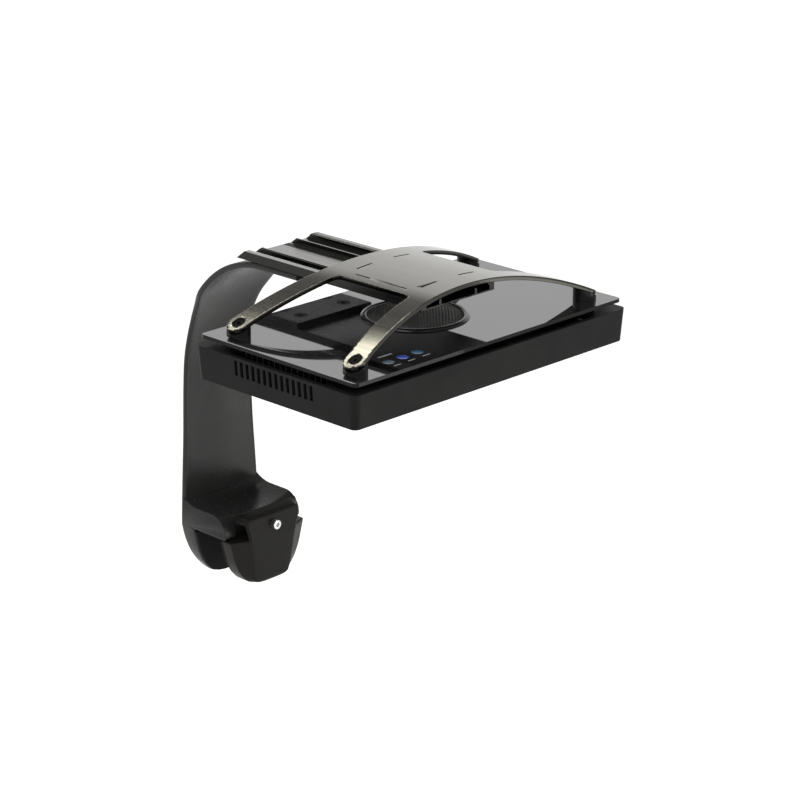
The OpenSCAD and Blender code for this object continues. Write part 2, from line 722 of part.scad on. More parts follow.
module socket_nut() {
    color("silver") at_lamp(jack_x, tray_w / 2 - 1, jack_z) rotate([90, 0, 0]) translate([0, 0, 4])
        difference() {
            cylinder(d = 15, h = 2.4, $fn = 6);
            translate([0, 0, -1]) cylinder(d = 11 + 2 * run, h = 5);
        }
}

arm();
rail();
rail_strips();
rail_bolts();
fixed_jaw_pad();
screw_insert();
clamp_jaw();
moving_jaw_pad();
guide_pins();
clamp_screw();
screw_clip();
carriage();
carriage_runners();
hanger();
hanger_screws();
hanger_posts();
post_nuts();
plate_spacers();
glass_top();
touch_keys();
touch_marks();
touch_board();
fan_guard_ring();
fan_guard_mesh();
fan_frame();
fan_screws();
fan_bearing();
fan_rotor();
fan_shaft();
housing();
base_screws();
heatsink();
board_screws();
led_board();
led_chips();
led_lenses();
lens_gasket();
lens_cover();
power_socket();
socket_pin();
socket_nut();
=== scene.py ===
"""LED aquarium light: the visible pieces and finishes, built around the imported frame."""

import logging
import math
from dataclasses import dataclass
from enum import Enum

import bmesh
import bpy
from mathutils import Matrix, Vector


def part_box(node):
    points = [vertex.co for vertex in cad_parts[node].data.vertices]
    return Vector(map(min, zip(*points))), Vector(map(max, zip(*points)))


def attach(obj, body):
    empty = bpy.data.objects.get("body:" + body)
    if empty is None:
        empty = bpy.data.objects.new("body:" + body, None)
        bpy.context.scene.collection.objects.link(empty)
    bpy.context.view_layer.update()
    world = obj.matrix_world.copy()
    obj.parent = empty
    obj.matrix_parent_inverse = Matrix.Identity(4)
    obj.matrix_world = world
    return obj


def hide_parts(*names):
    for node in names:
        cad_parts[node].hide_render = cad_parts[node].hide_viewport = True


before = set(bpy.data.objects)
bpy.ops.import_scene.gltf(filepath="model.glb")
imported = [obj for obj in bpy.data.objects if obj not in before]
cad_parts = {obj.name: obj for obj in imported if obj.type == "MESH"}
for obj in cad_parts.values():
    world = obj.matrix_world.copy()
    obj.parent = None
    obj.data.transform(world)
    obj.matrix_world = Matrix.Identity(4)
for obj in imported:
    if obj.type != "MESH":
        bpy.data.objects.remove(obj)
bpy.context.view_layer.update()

MM = 0.001
Point = tuple[float, float, float]
Flat = tuple[float, float]
Colour = tuple[float, float, float]
LOG = logging.getLogger("aquarium_light")


class Edge(Enum):
    """How strongly the edges of a piece are broken."""

    CRISP = 0.15
    FINE = 0.3
    SOFT = 0.6
    ROUND = 1.0


# ---------------------------------------------------------------- finishes


class Bench:
    """The node graph of one finish, with a Principled shader at its end."""

    def __init__(self, name: str) -> None:
        """Starts an empty material called name."""
        self.material = bpy.data.materials.new(name)
        self.material.use_nodes = True
        self.tree = self.material.node_tree
        self.shader = self.tree.nodes["Principled BSDF"]
        self.place = self.tree.nodes.new("ShaderNodeTexCoord").outputs["Object"]

    def fix(self, **values: float | tuple) -> None:
        """Sets constants on the shader's own sockets.

        Args:
            values: socket names, with _ for each space, and their values.
        """
        for key, value in values.items():
            self.shader.inputs[key.replace("_", " ")].default_value = value

    def noise(self, scale: float, detail: float = 3.0, stretch: Point = (1, 1, 1), warp: float = 0.0):
        """Makes a noise texture in the part's own metres.

        Args:
            scale: grains per metre.
            detail: octaves of the noise.
            stretch: scale of each axis before the noise.
            warp: distortion of the noise.

        Returns:
            The factor socket.
        """
        mapping = self.tree.nodes.new("ShaderNodeMapping")
        mapping.inputs["Scale"].default_value = stretch
        self.tree.links.new(self.place, mapping.inputs["Vector"])
        texture = self.tree.nodes.new("ShaderNodeTexNoise")
        texture.inputs["Scale"].default_value = scale
        texture.inputs["Detail"].default_value = detail
        texture.inputs["Distortion"].default_value = warp
        self.tree.links.new(mapping.outputs["Vector"], texture.inputs["Vector"])
        return texture.outputs["Fac"]

    def cells(self, scale: float):
        """Makes a pebbled cell texture and returns its distance socket."""
        texture = self.tree.nodes.new("ShaderNodeTexVoronoi")
        texture.inputs["Scale"].default_value = scale
        self.tree.links.new(self.place, texture.inputs["Vector"])
        return texture.outputs["Distance"]

    def spread(self, source, low: float, high: float, start: float = 0.3, end: float = 0.7):
        """Maps a factor to a range.

        Args:
            source: the factor socket.
            low: value at start.
            high: value at end.
            start: factor that gives low.
            end: factor that gives high.

        Returns:
            The mapped socket.
        """
        node = self.tree.nodes.new("ShaderNodeMapRange")
        for key, value in (("From Min", start), ("From Max", end), ("To Min", low), ("To Max", high)):
            node.inputs[key].default_value = value
        self.tree.links.new(source, node.inputs["Value"])
        return node.outputs["Result"]

    def tint(self, source, dark: Colour, light: Colour) -> None:
        """Drives the base colour between two colours.

        Args:
            source: the factor socket.
            dark: colour at low factors.
            light: colour at high factors.
        """
        ramp = self.tree.nodes.new("ShaderNodeValToRGB")
        ramp.color_ramp.elements[0].position = 0.3
        ramp.color_ramp.elements[0].color = (*dark, 1)
        ramp.color_ramp.elements[1].position = 0.7
        ramp.color_ramp.elements[1].color = (*light, 1)
        self.tree.links.new(source, ramp.inputs["Fac"])
        self.tree.links.new(ramp.outputs["Color"], self.shader.inputs["Base Color"])

    def drive(self, source, socket: str) -> None:
        """Links a socket into one of the shader's inputs."""
        self.tree.links.new(source, self.shader.inputs[socket])

    def bump(self, source, depth: float, strength: float = 1.0) -> None:
        """Raises the surface by a factor, depth metres high, over any bump that is there already.

        Args:
            source: the height factor.
            depth: height in metres.
            strength: share of the bump that shows.
        """
        node = self.tree.nodes.new("ShaderNodeBump")
        node.inputs["Strength"].default_value = strength
        node.inputs["Distance"].default_value = depth
        self.tree.links.new(source, node.inputs["Height"])
        links = self.shader.inputs["Normal"].links
        if links:
            self.tree.links.new(links[0].from_socket, node.inputs["Normal"])
        self.tree.links.new(node.outputs["Normal"], self.shader.inputs["Normal"])


@dataclass(frozen=True)
class Finish:
    """A surface finish: two close colours, a range of roughness and a fine grain, and painted shade on upright faces
    where side is below one.
    """

    name: str
    dark: Colour
    light: Colour
    rough: Flat = (0.4, 0.5)
    metal: float = 0.0
    ior: float = 1.5
    grain: float = 1500.0
    depth: float = 0.00002
    stretch: Point = (1, 1, 1)
    cloud: float = 22.0
    coat: float = 0.0
    gloss: float = 0.5
    # side: share of base colour (metals) or specular level (others) left on upright faces; below one this paints shade
    # on them
    side: float = 1.0

    def make(self) -> bpy.types.Material:
        """Builds the material.

        Returns:
            The finished material, made once for each name.
        """
        known = bpy.data.materials.get(self.name)
        if known:
            return known
        bench = Bench(self.name)
        bench.fix(Metallic=self.metal, IOR=self.ior, Coat_Weight=self.coat, Coat_Roughness=0.12,
                  Specular_IOR_Level=self.gloss)
        bench.tint(bench.noise(self.cloud, 4.0, self.stretch), self.dark, self.light)
        bench.drive(bench.spread(bench.noise(self.cloud * 3.1, 5.0, self.stretch), *self.rough), "Roughness")
        bench.bump(bench.noise(self.grain, 2.0, self.stretch), self.depth)
        if self.side < 1.0:
            self.paint_side_shade(bench)
        self.extra(bench)
        return bench.material

    def paint_side_shade(self, bench: Bench) -> None:
        """Paints shade on upright faces, darker than faces that look up: on metals their base colour is scaled down,
        on others their specular level.

        Args:
            bench: the finish's node graph.
        """
        facing = bench.tree.nodes.new("ShaderNodeNewGeometry").outputs["Normal"]
        split = bench.tree.nodes.new("ShaderNodeSeparateXYZ")
        bench.tree.links.new(facing, split.inputs[0])
        # painted shade: the share falls from one on faces that look up to side on upright faces
        share = bench.spread(split.outputs["Z"], self.side, 1.0, 0.4, 0.9)
        # non-metals: the specular level follows the share, a painted dimming of reflection on upright faces
        if self.metal < 0.5:
            level = bench.spread(share, 0.0, self.gloss, 0.0, 1.0)
            bench.drive(level, "Specular IOR Level")
            return
        # metals: the base colour is scaled by the share, painted shade on upright faces
        scale = bench.tree.nodes.new("ShaderNodeVectorMath")
        scale.operation = "SCALE"
        bench.tree.links.new(bench.shader.inputs["Base Color"].links[0].from_socket, scale.inputs[0])
        bench.tree.links.new(share, scale.inputs["Scale"])
        bench.drive(scale.outputs[0], "Base Color")

    def extra(self, bench: Bench) -> None:
        """Adds what a special finish has beyond the common ones."""


@dataclass(frozen=True)
class Pebbled(Finish):
    """A powder coat or moulded skin, with a fine pebble over the grain."""

    pebble: float = 2200.0
    pebble_depth: float = 0.00003

    def extra(self, bench: Bench) -> None:
        """Raises the pebble."""
        bench.bump(bench.cells(self.pebble), self.pebble_depth)


@dataclass(frozen=True)
class Dusty(Finish):
    """A dark mirror with faint smears and dust that only show in its gloss."""

    def extra(self, bench: Bench) -> None:
        """Adds specks of dust as a fine lift of the roughness."""
        specks = bench.spread(bench.noise(900.0, 6.0), self.rough[0], self.rough[0] + 0.12, 0.66, 0.8)
        smears = bench.spread(bench.noise(14.0, 3.0, (1, 3, 1), 1.2), 0.0, 0.03)
        total = bench.tree.nodes.new("ShaderNodeMath")
        total.operation = "ADD"
        bench.tree.links.new(specks, total.inputs[0])
        bench.tree.links.new(smears, total.inputs[1])
        bench.drive(total.outputs[0], "Roughness")


@dataclass(frozen=True)
class Clear(Finish):
    """A clear moulded or sheet plastic."""

    clarity: float = 1.0

    def extra(self, bench: Bench) -> None:
        """Lets light through."""
        bench.fix(Transmission_Weight=self.clarity)


@dataclass(frozen=True)
class Lit(Finish):
    """A surface with a lamp behind it."""

    glow: Colour = (0.1, 0.4, 0.8)
    power: float = 0.6

    def extra(self, bench: Bench) -> None:
        """Adds the glow, a little uneven."""
        bench.fix(Emission_Color=(*self.glow, 1))
        level = bench.spread(bench.noise(420.0, 2.0), self.power * 0.7, self.power)
        bench.drive(level, "Emission Strength")


ARM_CAST = Pebbled("arm_satin_black", (0.015, 0.015, 0.0145), (0.019, 0.019, 0.018), (0.24, 0.32), gloss=0.24,
                   pebble=3000.0, pebble_depth=0.000004, depth=0.000004)
JAW_CAST = Pebbled("jaw_satin_charcoal", (0.009, 0.0085, 0.0075), (0.012, 0.0115, 0.0105), (0.32, 0.42), gloss=0.10,
                   pebble=2800.0, pebble_depth=0.000006, depth=0.000006)
# painted shade: side=0.13 scales the rail's base colour down on its upright faces
RAIL_ANODISED = Finish("rail_dark_anodised", (0.235, 0.230, 0.222), (0.275, 0.270, 0.262), (0.20, 0.28), metal=1.0,
                       grain=5200.0, depth=0.000001, stretch=(1, 0.02, 1), cloud=160.0, side=0.13)
# painted shade: side=0.2 scales the sheet's base colour down on its upright faces
HANGER_BRONZE = Finish("hanger_bronze_brushed", (0.222, 0.217, 0.196), (0.244, 0.239, 0.217), (0.10, 0.14),
                       metal=1.0, grain=5200.0, depth=0.0, stretch=(1, 0.03, 1), cloud=120.0, side=0.2)
HOUSING_COAT = Pebbled("housing_powder_coat", (0.009, 0.009, 0.009), (0.013, 0.013, 0.0125), (0.40, 0.50),
                       gloss=0.07, pebble=2600.0, pebble_depth=0.000012)
# painted shade: side=0.05 takes nearly all specular level off the glass's upright faces
MIRROR_GLASS = Dusty("glass_dark_mirror", (0.008, 0.008, 0.009), (0.011, 0.011, 0.012), (0.02, 0.05), ior=2.4,
                     depth=0.0, side=0.05)
POST_BLACK = Finish("post_turned_black", (0.006, 0.006, 0.006), (0.009, 0.009, 0.009), (0.20, 0.30), gloss=0.25,
                    stretch=(1, 1, 12), depth=0.00001)
STEEL = Finish("steel_bright", (0.60, 0.60, 0.60), (0.74, 0.74, 0.73), (0.16, 0.30), metal=1.0,
               grain=4000.0, depth=0.000006)
BLACK_STEEL = Finish("steel_black_oxide", (0.005, 0.005, 0.005), (0.008, 0.008, 0.008), (0.36, 0.46), gloss=0.06)
BRASS = Finish("brass_turned", (0.62, 0.46, 0.20), (0.74, 0.58, 0.30), (0.20, 0.32), metal=1.0)
RUBBER = Pebbled("rubber_matt", (0.007, 0.007, 0.007), (0.011, 0.011, 0.011), (0.68, 0.82), gloss=0.1, pebble=1400.0)
ACETAL = Finish("acetal_black", (0.008, 0.008, 0.008), (0.013, 0.013, 0.013), (0.40, 0.50), gloss=0.12)
GUARD_RING = Finish("guard_ring_satin", (0.050, 0.050, 0.051), (0.075, 0.075, 0.075), (0.18, 0.28), metal=0.7)
GUARD_WIRE = Finish("guard_wire_steel", (0.50, 0.50, 0.49), (0.60, 0.60, 0.59), (0.28, 0.38), metal=0.9)
FAN_PLASTIC = Pebbled("fan_moulded_black", (0.014, 0.014, 0.014), (0.022, 0.022, 0.022), (0.40, 0.52))
SINK_METAL = Finish("heatsink_black", (0.020, 0.020, 0.021), (0.032, 0.032, 0.032), (0.36, 0.48), metal=0.5,
                    stretch=(0.05, 1, 1))
BOARD_WHITE = Finish("board_white_mask", (0.74, 0.75, 0.75), (0.82, 0.82, 0.82), (0.25, 0.35))
BOARD_GREEN = Finish("board_green_mask", (0.012, 0.085, 0.035), (0.020, 0.120, 0.050), (0.20, 0.30))
CHIP = Finish("chip_phosphor", (0.72, 0.58, 0.14), (0.84, 0.72, 0.26), (0.40, 0.50), grain=2600.0)
OPTIC = Clear("optic_clear", (0.96, 0.97, 0.98), (1.0, 1.0, 1.0), (0.03, 0.08), depth=0.0)
COVER = Clear("cover_clear_sheet", (0.95, 0.97, 0.97), (1.0, 1.0, 1.0), (0.02, 0.05), depth=0.0)
PRINT = Finish("print_pale", (0.42, 0.43, 0.44), (0.52, 0.52, 0.53), (0.30, 0.40))
KEYS = (
    Lit("key_grey_teal", (0.03, 0.06, 0.07), (0.04, 0.08, 0.10), (0.16, 0.24), glow=(0.06, 0.13, 0.18), power=0.2),
    Lit("key_blue", (0.01, 0.02, 0.14), (0.015, 0.03, 0.20), (0.16, 0.24), glow=(0.02, 0.05, 0.36), power=0.45),
    Lit("key_teal", (0.015, 0.05, 0.09), (0.02, 0.07, 0.12), (0.16, 0.24), glow=(0.02, 0.09, 0.18), power=0.35),
)


# ---------------------------------------------------------------- workshop


class Workshop:
    """Ways of making meshes: lofts, turned pieces, sheets and cuts. Sizes are in millimetres."""

    @staticmethod
    def solid(name: str, points: list[Point], faces: list[tuple[int, ...]]) -> bpy.types.Object:
        """Makes an object from points in millimetres.

        Args:
            name: the piece's name.
            points: corner points.
            faces: corner numbers of each face.

        Returns:
            The new object, shaded smooth, with its faces turned outwards.
        """
        mesh = bpy.data.meshes.new(name)
        mesh.from_pydata([tuple(c * MM for c in p) for p in points], [], faces)
        shape = bmesh.new()
        shape.from_mesh(mesh)
        bmesh.ops.remove_doubles(shape, verts=shape.verts, dist=1e-7)
        bmesh.ops.recalc_face_normals(shape, faces=shape.faces)
        shape.to_mesh(mesh)
        shape.free()
        piece = bpy.data.objects.new(name, mesh)
        bpy.context.scene.collection.objects.link(piece)
        return Workshop.smooth(piece)

    @staticmethod
    def smooth(piece: bpy.types.Object, angle: float = 38.0) -> bpy.types.Object:
        """Shades a piece smooth up to an angle.

        Args:
            piece: the object.
            angle: edges sharper than this stay sharp, in degrees.

        Returns:
            The same object.
        """
        piece.data.polygons.foreach_set("use_smooth", [True] * len(piece.data.polygons))
        piece.data.set_sharp_from_angle(angle=math.radians(angle))
        return piece

    @staticmethod
    def loft(name: str, rings: list[list[Point]], ends: bool = True, loop: bool = False) -> bpy.types.Object:
        """Skins closed rings of equal length.

        Args:
            name: the piece's name.
            rings: rings of points, in order.
            ends: closes the first and last ring with a face.
            loop: joins the last ring to the first.

        Returns:
            The new object.
        """
        size = len(rings[0])
        points = [p for ring in rings for p in ring]
        faces = []
        for i in range(len(rings) if loop else len(rings) - 1):
            a, b = i * size, (i + 1) % len(rings) * size
            faces += [(a + k, a + (k + 1) % size, b + (k + 1) % size, b + k) for k in range(size)]
        if ends and not loop:
            faces += [tuple(range(size)), tuple(reversed(range(len(points) - size, len(points))))]
        return Workshop.solid(name, points, faces)

    @staticmethod
    def turned(name: str, profile: list[Flat], at: Point, axis: str = "Z", count: int = 96,
               loop: bool = False) -> bpy.types.Object:
        """Turns a profile round an axis.

        Args:
            name: the piece's name.
            profile: radius and height pairs.
            at: where the profile's zero stands.
            axis: Z, or Y for a piece whose height runs along +Y.
            count: steps round.
            loop: the profile is closed, as on a ring.

        Returns:
            The new object.
        """
        rings = []
        for radius, height in profile:
            ring = []
            for k in range(count):
                a = math.tau * k / count
                u, v = radius * math.cos(a), radius * math.sin(a)
                local = (u, v, height) if axis == "Z" else (u, height, v)
                ring.append(tuple(c + o for c, o in zip(local, at)))
            rings.append(ring)
        return Workshop.loft(name, rings, loop=loop)

    @staticmethod
    def apply(piece: bpy.types.Object) -> bpy.types.Object:
        """Makes a piece's modifiers part of its mesh.

        Args:
            piece: the object.

        Returns:
            The same object.
        """
        bpy.context.view_layer.update()
        graph = bpy.context.evaluated_depsgraph_get()
        mesh = bpy.data.meshes.new_from_object(piece.evaluated_get(graph))
        piece.modifiers.clear()
        piece.data = mesh
        return piece

    @staticmethod
    def combine(piece: bpy.types.Object, tools: list[bpy.types.Object], how: str) -> bpy.types.Object:
        """Joins or cuts a piece with others, which are used up.

        Args:
            piece: the object that stays.
            tools: the objects that are used up.
            how: UNION, DIFFERENCE or INTERSECT.

        Returns:
            The piece.
        """
        for tool in tools:
            step = piece.modifiers.new(how, "BOOLEAN")
            step.operation = how
            step.solver = "EXACT"
            step.object = tool
            Workshop.apply(piece)
        for tool in tools:
            bpy.data.objects.remove(tool)
        return Workshop.smooth(piece)

    @staticmethod
    def merge(name: str, pieces: list[bpy.types.Object]) -> bpy.types.Object:
        """Makes one object of several that stay separate shells.

        Args:
            name: name of the result.
            pieces: the objects, which are used up.

        Returns:
            The new object.
        """
        shape = bmesh.new()
        for piece in pieces:
            shape.from_mesh(piece.data)
            bpy.data.objects.remove(piece)
        mesh = bpy.data.meshes.new(name)
        shape.to_mesh(mesh)
        shape.free()
        whole = bpy.data.objects.new(name, mesh)
        bpy.context.scene.collection.objects.link(whole)
        return Workshop.smooth(whole)

    @staticmethod
    def block(low: Point, high: Point, name: str = "tool") -> bpy.types.Object:
        """Makes a plain box for cutting, from its two corners."""
        rings = [[(low[0], low[1], z), (high[0], low[1], z), (high[0], high[1], z), (low[0], high[1], z)]
                 for z in (low[2], high[2])]
        return Workshop.loft(name, rings)

    @staticmethod
    def break_edges(piece: bpy.types.Object, edge: Edge, steps: int = 2, angle: float = 40.0) -> bpy.types.Object:
        """Rounds a piece's sharp edges slightly and evens its shading.

        Args:
            piece: the object.
            edge: how strongly the edges are broken.
            steps: faces across each edge.
            angle: edges sharper than this are broken, in degrees.

        Returns:
            The same object.
        """
        weld = piece.modifiers.new("weld", "WELD")
        weld.merge_threshold = 0.000004
        bevel = piece.modifiers.new("edge", "BEVEL")
        bevel.width = edge.value * MM
        bevel.segments = steps
        bevel.limit_method = "ANGLE"
        bevel.angle_limit = math.radians(angle)
        bevel.harden_normals = False
        even = piece.modifiers.new("even", "WEIGHTED_NORMAL")
        even.weight = 90
        even.keep_sharp = True
        return piece


def arc(centre: Flat, radius: float, start: float, end: float, steps: int) -> list[Flat]:
    """Points along an arc.

    Args:
        centre: the arc's centre.
        radius: its radius.
        start: first angle in degrees.
        end: last angle in degrees.
        steps: number of steps.

    Returns:
        The points, both ends included.
    """
    out = []
    for i in range(steps + 1):
        a = math.radians(start + (end - start) * i / steps)
        out.append((centre[0] + radius * math.cos(a), centre[1] + radius * math.sin(a)))
    return out


def ease(t: float) -> float:
    """Eases a share from 0 to 1."""
    t = min(max(t, 0.0), 1.0)
    return t * t * (3 - 2 * t)


def through(stops: tuple[Flat, ...], at: float) -> float:
    """Smooth line through stops.

    Args:
        stops: pairs of place and value, in rising order of place.
        at: the place asked for.

    Returns:
        The value there, and the end stop's value beyond the ends.
    """
    if at <= stops[0][0]:
        return stops[0][1]
    for i in range(len(stops) - 1):
        (a, u), (b, v) = stops[i], stops[i + 1]
        if at > b:
            continue
        before, after = stops[max(i - 1, 0)], stops[min(i + 2, len(stops) - 1)]
        leave = (v - before[1]) / (b - before[0]) * (b - a)
        arrive = (after[1] - u) / (after[0] - a) * (b - a)
        t = (at - a) / (b - a)
        return (u * (2 * t ** 3 - 3 * t * t + 1) + leave * (t ** 3 - 2 * t * t + t)
                + v * (3 * t * t - 2 * t ** 3) + arrive * (t ** 3 - t * t))
    return stops[-1][1]


def blend(a: float, b: float, t: float) -> float:
    """Value between a and b at share t."""
    return a + (b - a) * t


@dataclass
class Assembly:
    """What every sub-assembly shares: a body to ride on and a way to hand in its pieces."""

    body: str

    def hand_in(self, piece: bpy.types.Object, finish: Finish, slot: str, *nodes: str) -> bpy.types.Object:
        """Dresses a new piece, puts it on its body and lets it stand for CAD nodes.

        Args:
            piece: the new object.
            finish: its finish.
            slot: the record's material slot; not used.
            nodes: the CAD nodes that it stands for.

        Returns:
            The piece.
        """
        piece.data.materials.clear()
        piece.data.materials.append(finish.make())
        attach(piece, self.body)
        if nodes:
            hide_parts(*nodes)
        LOG.info("%s on %s: %d faces", piece.name, self.body, len(piece.data.polygons))
        return piece

    def dress(self, node: str, finish: Finish, edge: Edge | None = Edge.CRISP) -> bpy.types.Object:
        """Gives a CAD node its finish and breaks its edges.

        Args:
            node: the CAD node.
            finish: its finish.
            edge: how strongly its edges are broken, or None to leave them.

        Returns:
            The node's object.
        """
        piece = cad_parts[node]
        piece.data.materials.clear()
        piece.data.materials.append(finish.make())
        if edge:
            Workshop.break_edges(piece, edge)
        LOG.info("%s dressed in %s", node, finish.name)
        return piece


# ---------------------------------------------------------------- arm


@dataclass
class Arm(Assembly):
    """The cast arm: head plate, bent and waisted strap, clamp foot and fixed jaw."""

    body: str = "arm"
    thick: float = 4.0
    head: float = 36.0
    top_r: float = 80.0
    split: float = 40.0
    back: float = 28.0
    depth: float = 39.0
    tail_r: float = 58.0
    tail_z: float = -5.0
    foot_hw: float = 36.0
    foot_front: float = -19.6
    foot_round: float = 14.0
    foot_top: float = 17.0
    foot_dip: float = 3.9
    fillet_r: float = 27.7
    fillet_y: float = 10.0
    recess: float = -15.8
    recess_hw: float = 25.6
    jaw_face: float = 14.5
    pin_x: float = 16.0
    screw_z: float = 7.3
    edge_line: tuple[Flat, ...] = (
        (-39.0, 8.0), (-38.1, 15.0), (-35.4, 20.5), (-30.0, 25.4), (-25.0, 28.4), (-19.0, 31.0), (-11.5, 33.2),
        (-5.0, 34.8), (0.0, 35.9), (20.0, 35.2), (41.0, 34.0), (66.0, 32.5), (100.0, 31.2), (125.0, 29.7),
        (140.0, 29.0), (150.0, 29.0), (157.0, 29.4), (168.0, 31.0), (176.0, 33.5), (180.0, 34.6), (184.0, 35.0),
        (230.0, 35.0))

    def __post_init__(self) -> None:
        """Takes the arm's place from the frame."""
        low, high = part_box("arm")
        self.head_y = low.y / MM
        self.top_z = high.z / MM
        self.bend_y = self.head_y + self.head
        self.mid_y = self.bend_y + self.top_r * math.sin(math.radians(self.split))
        self.mid_z = self.top_z - self.top_r * (1 - math.cos(math.radians(self.split)))
        self.low_r = (self.back - self.mid_y) / (1 - math.sin(math.radians(self.split)))
        self.end_z = self.mid_z - self.low_r * math.cos(math.radians(self.split))

    def half_width(self, z: float) -> float:
        """Half width of the strap at height z over the seat."""
        return through(self.edge_line, z)

    def stations(self) -> list[tuple[Flat, Flat, float, float]]:
        """The strap's line, from its head to its tail.

        Returns:
            For each station the outer point in Y and Z, the direction into the strap, the thickness and the
            depth of the dish in its inner face.
        """
        out = []
        for i in range(10):
            y = self.head_y + self.head * i / 10
            out.append(((y, self.top_z), (0.0, -1.0), self.thick, 0.0))
        for i in range(17):
            a = math.radians(self.split * i / 16)
            at = (self.bend_y + self.top_r * math.sin(a), self.top_z - self.top_r * (1 - math.cos(a)))
            out.append((at, (-math.sin(a), -math.cos(a)), self.thick, 2.6 * ease(i / 12)))
        for i in range(1, 25):
            a = math.radians(self.split + (90 - self.split) * i / 24)
            at = (self.back - self.low_r * (1 - math.sin(a)), self.end_z + self.low_r * math.cos(a))
            out.append((at, (-math.sin(a), -math.cos(a)), self.thick, blend(2.6, 2.3, i / 24)))
        for i in range(1, 25):
            out.append(((self.back, blend(self.end_z, 2.0, i / 24)), (-1.0, 0.0), self.thick, 2.3))
        wide = self.back - self.jaw_face
        out += [((self.back, z), (-1.0, 0.0), wide, 0.0) for z in (0.0, self.tail_z)]
        for i in range(1, 25):
            z = self.tail_z - (self.depth + self.tail_z) * math.sin(math.radians(90 * i / 24))
            y = self.back - self.tail_r + math.sqrt(self.tail_r ** 2 - (z - self.tail_z) ** 2)
            out.append(((y, z), (-1.0, 0.0), max(y - self.jaw_face, 1.0), 0.0))
        return out

    def section(self, at: Flat, inward: Flat, thick: float, dish: float) -> list[Point]:
        """One cross-section of the strap.

        Args:
            at: the outer face's point in Y and Z.
            inward: direction into the strap.
            thick: thickness.
            dish: depth of the dish in the inner face.

        Returns:
            A closed ring of points.
        """
        half = self.half_width(at[1])
        nose = min(1.3, thick * 0.42, half * 0.4)
        ring: list[Flat] = [(blend(-half + nose, half - nose, i / 12), 0.0) for i in range(13)]
        ring += [(half - nose + nose * math.sin(a), nose - nose * math.cos(a)) for a in (0.4, 0.8, 1.2, 1.57)]
        ring += [(half - nose + nose * math.cos(a), thick - nose + nose * math.sin(a)) for a in (0.0, 0.4, 0.8, 1.2)]
        land = half - nose
        for i in range(25):
            x = blend(land, -land, i / 24)
            share = max(0.0, 1 - (x / (land - 1.2)) ** 2)
            ring.append((x, thick - dish * share))
        ring += [(-half + nose - nose * math.sin(a), thick - nose + nose * math.cos(a)) for a in (0.4, 0.8, 1.2, 1.57)]
        ring += [(-half + nose - nose * math.cos(a), nose - nose * math.sin(a)) for a in (0.0, 0.4, 0.8, 1.2)]
        return [(x, at[0] + inward[0] * n, at[1] + inward[1] * n) for x, n in ring]

    def foot_height(self, x: float, y: float) -> float:
        """Height of the foot's top.

        Args:
            x: place across the foot.
            y: place along the foot.

        Returns:
            The height over the seat.
        """
        dip = self.foot_dip * (1 - (x / self.foot_hw) ** 2)
        front = self.foot_front + self.foot_round
        top = self.foot_top - dip
        if y < front:
            drop = math.sqrt(max(self.foot_round ** 2 - (y - front) ** 2, 0.0))
            return min(self.foot_top - self.foot_round + drop, top)
        if y > self.fillet_y:
            radius = self.fillet_r + dip
            return self.foot_top + self.fillet_r - math.sqrt(radius ** 2 - (y - self.fillet_y) ** 2)
        return top

    def foot(self) -> bpy.types.Object:
        """The clamp foot: a block with a dished top and a rounded front.

        Returns:
            The block.
        """
        lift = 0.4
        spread = self.foot_hw - 0.3
        rows = [(spread * math.sin(math.radians(90 * i / 20)), 0.0) for i in range(-20, 21)]
        rows = [(-spread - 0.25, 0.5), *rows, (spread + 0.25, 0.5)]
        front = self.foot_front + self.foot_round
        ys = [front - self.foot_round * math.cos(math.radians(90 * i / 12)) for i in range(13)]
        ys += [blend(front, self.fillet_y, i / 4) for i in range(1, 5)]
        ys += [blend(self.fillet_y, 25.5, i / 10) for i in range(1, 11)]
        rings = []
        for x, inset in rows:
            profile = [(25.5, lift + inset), (self.foot_front + 0.8 + inset, lift + inset),
                       (self.foot_front + inset, lift + 0.8 + inset)]
            profile += [(max(y, self.foot_front + inset), self.foot_height(x, y) - inset) for y in ys]
            rings.append([(x, y, z) for y, z in profile])
        return Workshop.loft("foot", rings)

    def build(self) -> None:
        """Makes the arm and dresses the pieces fixed to it."""
        strap = Workshop.loft("arm_casting", [self.section(*s) for s in self.stations()])
        foot = self.foot()
        Workshop.combine(strap, [foot], "UNION")
        tools = [Workshop.block((-self.recess_hw, self.foot_front - 2, -1), (self.recess_hw, self.recess, 22))]
        tools.append(self.bore(4.75, -20, self.recess + 12, 0))
        tools.append(self.bore(3.5, self.recess, self.back - 2.5, 0))
        tools += [self.bore(2.05, -20, self.back - 2.5, s * self.pin_x) for s in (-1, 1)]
        Workshop.combine(strap, tools, "DIFFERENCE")
        for x in (-20, 20):
            for y in (self.head_y + 12, self.bend_y - 6):
                sunk = [(4.85, -8), (4.85, -4.0), (2.55, -1.7), (2.55, 2)]
                drill = Workshop.turned("tool", sunk, (x, y, self.top_z), count=32)
                Workshop.combine(strap, [drill], "DIFFERENCE")
        self.hand_in(strap, ARM_CAST, "anodised_arm", "arm")
        self.dress("rail", RAIL_ANODISED, Edge.CRISP)
        self.dress("rail_strips", ACETAL, None)
        self.dress("rail_bolts", BLACK_STEEL)
        self.dress("fixed_jaw_pad", RUBBER, Edge.FINE)
        self.dress("screw_insert", BRASS)

    def bore(self, radius: float, start: float, end: float, x: float) -> bpy.types.Object:
        """A round tool along Y at the screw's height."""
        return Workshop.turned("tool", [(radius, start), (radius, end)], (x, 0, self.screw_z), "Y", 40)


# ---------------------------------------------------------------- clamp


